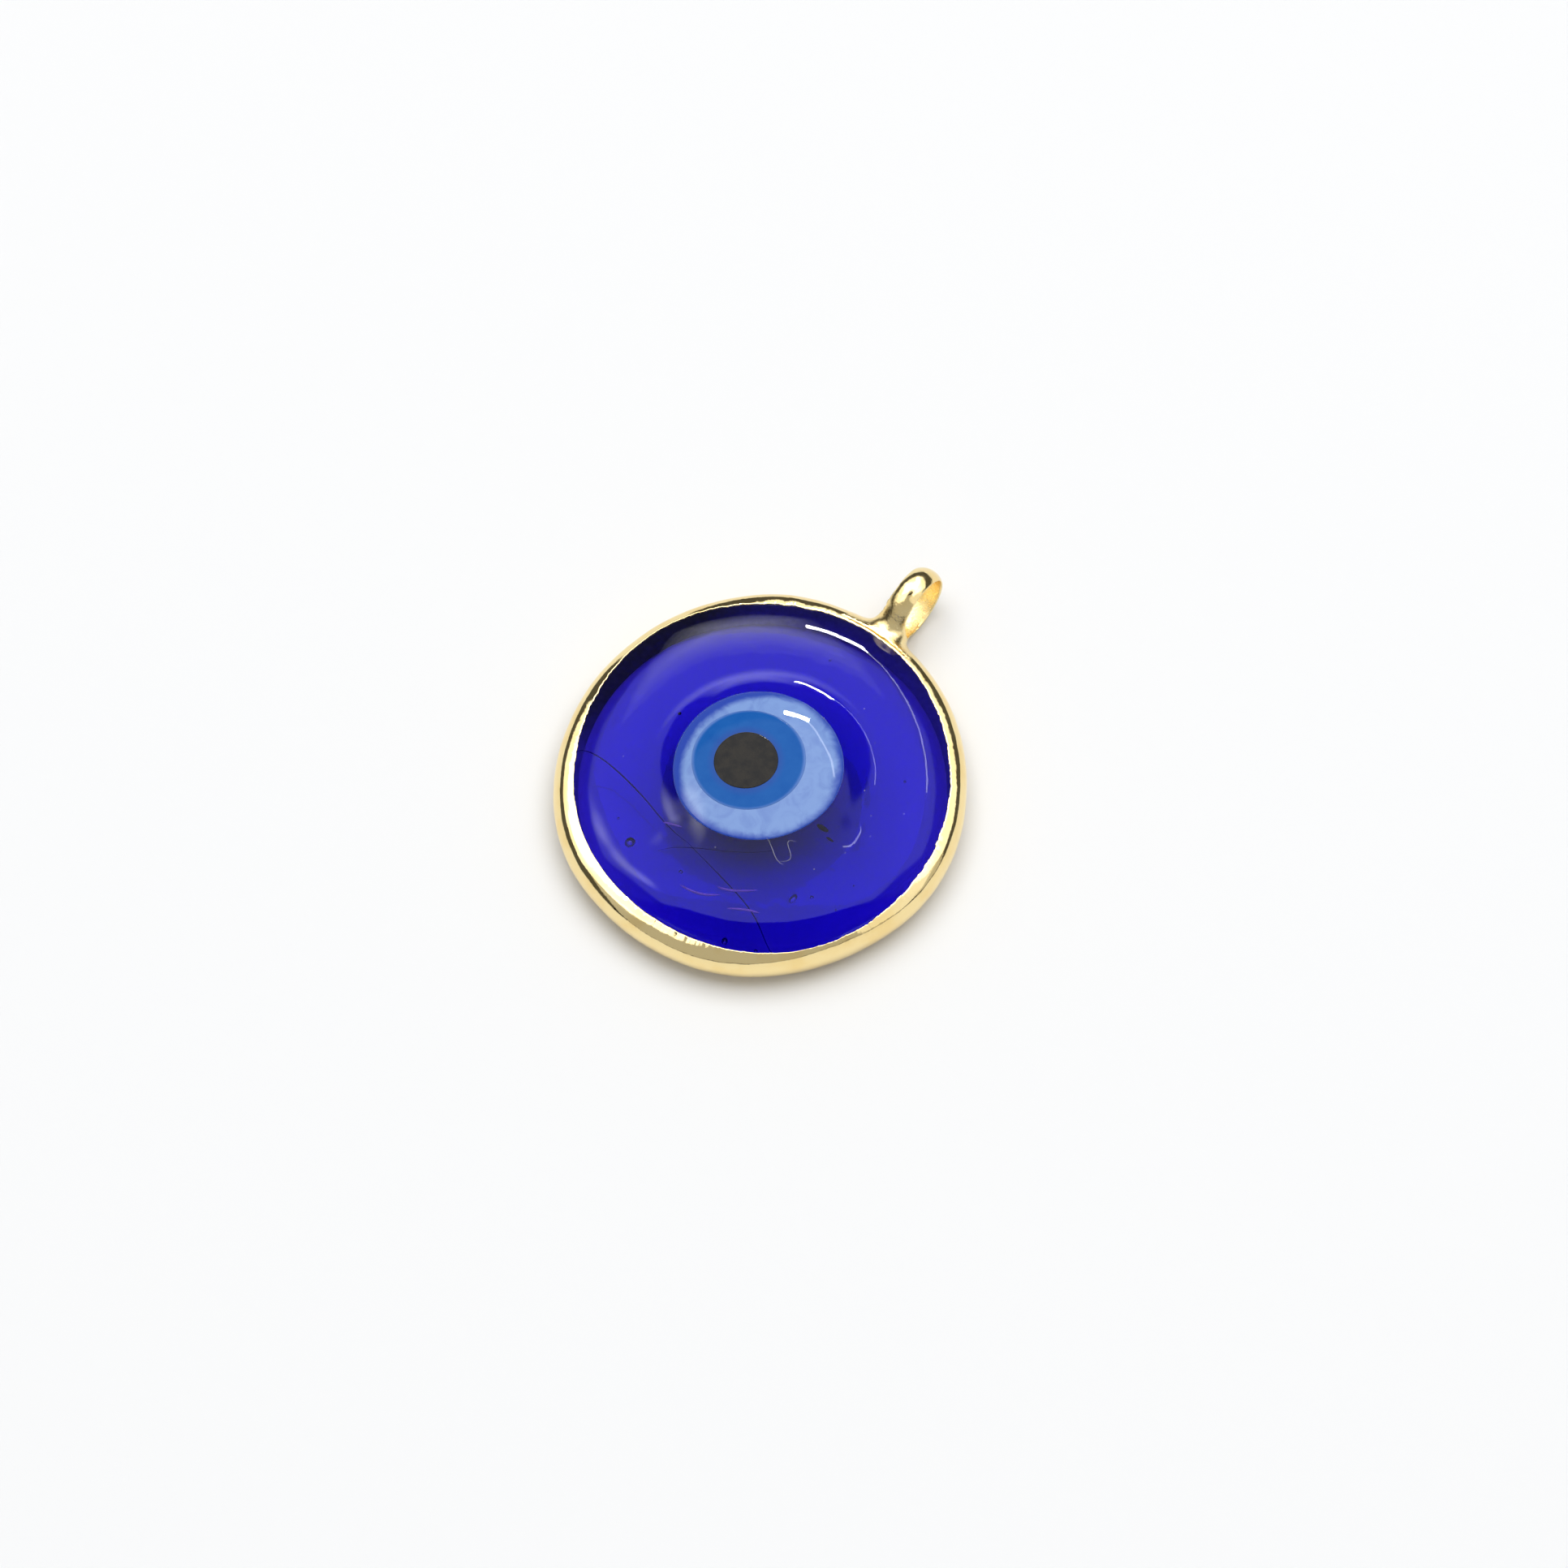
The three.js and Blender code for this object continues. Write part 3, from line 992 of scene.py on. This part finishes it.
def panel(name, width, height, radiance, in_reflections):
    """A rectangular lamp that either shows only in reflections or only lights. Its width
    and height are in metres."""
    light = bpy.data.lights.new(name, "AREA")
    light.shape = "RECTANGLE"
    light.size = width
    light.size_y = height
    light.energy = radiance * math.pi * width * height
    lamp = bpy.data.objects.new(name, light)
    lamp.visible_glossy = in_reflections
    lamp.visible_diffuse = not in_reflections
    lamp.visible_transmission = not in_reflections
    lamp.visible_camera = False
    bpy.context.scene.collection.objects.link(lamp)
    return lamp


def facing_panel(name, azimuth, elevation, width, tall, radiance, in_reflections, away=1.0):
    """A panel that faces the pendant, so many metres away, and spans the given angles."""
    wide = 2 * away * math.tan(math.radians(width / 2))
    high = 2 * away * math.tan(math.radians(tall / 2))
    lamp = panel(name, wide, high, radiance, in_reflections)
    towards = studio_direction(azimuth, elevation)
    lamp.location = towards * away
    lamp.rotation_euler = (-towards).to_track_quat("-Z", "Y").to_euler()
    return lamp


def ceiling_tube(name, start, end, thickness, radiance):
    """A long thin lamp one metre above the table, between two studio directions."""
    ends = [studio_direction(*direction) for direction in (start, end)]
    ends = [towards / towards.z for towards in ends]
    along = ends[1] - ends[0]
    lamp = panel(name, along.length, thickness, radiance, in_reflections=True)
    lamp.location = (ends[0] + ends[1]) / 2
    lamp.rotation_euler = (0, 0, math.atan2(along.y, along.x))


def chosen(tree, switch, when_one, when_zero):
    """The first value where the switch is one, and the second where it is zero."""
    first = maths(tree, "MULTIPLY", switch, when_one)
    second = maths(tree, "MULTIPLY", maths(tree, "SUBTRACT", 1.0, switch), when_zero)
    return maths(tree, "ADD", first, second)


def sky_patch(tree, direction, azimuth, elevation, width, height, softness):
    """One inside a soft-edged rectangle of the surroundings and zero outside it. The
    width, height and softness are in degrees."""
    centre = studio_direction(azimuth, elevation)
    across = Vector((0, 0, 1)).cross(centre).normalized()
    upwards = centre.cross(across)
    ahead = direction_part(tree, direction, centre)
    total = remap(tree, ahead, 0.0, 0.1)
    for axis, size in ((across, width), (upwards, height)):
        offset = maths(tree, "ABSOLUTE", direction_part(tree, direction, axis))
        outer = math.sin(math.radians(size / 2 + softness / 2))
        inner = math.sin(math.radians(max(0, size / 2 - softness / 2)))
        total = maths(tree, "MULTIPLY", total, remap(tree, offset, inner, outer, 1.0, 0.0))
    return total


def build_world():
    """Shiny surfaces see a pale wall and ceiling behind the pendant, a darker band near the
    table and a dark room on the camera's side. Matt surfaces get a weak even fill."""
    world = bpy.data.worlds.new("studio")
    bpy.context.scene.world = world
    world.use_nodes = True
    tree = world.node_tree
    tree.nodes.clear()
    direction = tree.nodes.new("ShaderNodeTexCoord").outputs["Generated"]
    height = node(tree, "ShaderNodeSeparateXYZ", {0: direction}).outputs["Z"]
    ahead = direction_part(tree, direction, studio_direction(WALL_AZIMUTH, 0))
    aside = direction_part(tree, direction, studio_direction(WALL_AZIMUTH + 90, 0))
    turned = maths(tree, "ABSOLUTE", maths(tree, "ARCTAN2", aside, ahead))
    sector = remap(tree, turned, *map(math.radians, WALL_EDGE), 1.0, 0.0)
    wall = remap(tree, height, *WALL_FOOT, *WALL_LEVELS)
    level = maths(tree, "MULTIPLY", sector, wall)
    patch = maths(tree, "MULTIPLY", sky_patch(tree, direction, *SKY_PATCH), SKY_PATCH_LEVEL)
    level = maths(tree, "ADD", level, patch)
    rays = tree.nodes.new("ShaderNodeLightPath")
    level = chosen(tree, rays.outputs["Is Glossy Ray"], level, FILL)
    level = chosen(tree, rays.outputs["Is Camera Ray"], BACKDROP, level)
    background = node(tree, "ShaderNodeBackground", {"Strength": level})
    background.inputs["Color"].default_value = (1, 1, 1, 1)
    output = tree.nodes.new("ShaderNodeOutputWorld")
    tree.links.new(background.outputs[0], output.inputs[0])


def lit_only(lamps, name, pieces):
    """Keep lamps to the given pieces."""
    receivers = bpy.data.collections.new(name)
    for piece in pieces:
        receivers.objects.link(piece)
    for lamp in lamps:
        lamp.light_linking.receiver_collection = receivers


def haze_panel(width):
    """One of a nest of panels that add up to a soft glow. Each is a little further away
    than the one inside it, because panels in one plane would hide each other."""
    size = {"width": width, "tall": 1.4 * width, "away": 1 + width / 50}
    return facing_panel("haze", 94, 41, radiance=0.35, in_reflections=True, **size)


def build_lights(bead, gold_pieces):
    facing_panel("key_softbox", 77, 78, 60, 45, KEY, in_reflections=False)
    facing_panel("strip", 77, 36, 9.5, 3.6, 75, in_reflections=True)
    ceiling_tube("tube", (72, 37), (39, 52.5), 0.04, 4.5)
    walls = [
        facing_panel("gold_wall", azimuth, 54, 60, 56, 1.3, in_reflections=True)
        for azimuth in (34, 94, 154)
    ]
    ceiling = facing_panel("gold_ceiling", 272, 42, 130, 80, 0.5, in_reflections=True)
    side = facing_panel("gold_side", 335, 40, 50, 70, 0.5, in_reflections=True)
    lit_only(walls + [ceiling, side], "gold", gold_pieces)
    haze = [haze_panel(width) for width in range(6, 25, 3)]
    lit_only(haze, "glass", [bead])


def build_camera():
    azimuth = math.radians(CAMERA_AZIMUTH)
    elevation = math.radians(CAMERA_ELEVATION)
    back = Vector(
        (
            math.sin(azimuth) * math.cos(elevation),
            -math.cos(azimuth) * math.cos(elevation),
            math.sin(elevation),
        )
    )
    right = Vector((math.cos(azimuth), math.sin(azimuth), 0))
    up = back.cross(right)
    camera = bpy.data.objects.new("camera", bpy.data.cameras.new("camera"))
    turn = Matrix((right, up, back)).transposed().to_4x4()
    spot = back * CAMERA_DISTANCE + right * CAMERA_ASIDE[0] + up * CAMERA_ASIDE[1]
    camera.matrix_world = Matrix.Translation(spot * MM) @ turn
    camera.data.lens = LENS
    camera.data.sensor_width = SENSOR
    camera.data.clip_start = 0.01
    camera.data.clip_end = 10
    bpy.context.scene.collection.objects.link(camera)
    bpy.context.scene.camera = camera


def build_eye():
    """The three layers, each a little prouder than the one that it lies in."""
    white = opal_material("light_blue_opal", white_colour, gloss=0.5)
    iris = opal_material("mid_blue_opal", iris_colour, gloss=0.2)
    pupil = opal_material("black_opal", pupil_colour, gloss=0.5)
    waves = ((0.008, 60), (0.006, 20))
    build_layer("eye_white", "eye_white_layer", WHITE, waves, 0.008, white)
    waves = ((0.012, 20), (0.006, 50))
    build_layer("iris", "iris_layer", IRIS, waves, 0.014, iris)
    waves = ((0.01, 40), (0.006, 10))
    build_layer("pupil", "pupil_layer", PUPIL, waves, 0.02, pupil)


build_camera()
bead = build_bead()
build_eye()
gold_pieces = [build_rim(), build_loop(), build_neck()]
build_floor()
build_world()
build_lights(bead, gold_pieces)

scene = bpy.context.scene
scene.view_settings.view_transform = "Standard"
scene.cycles.use_denoising = True
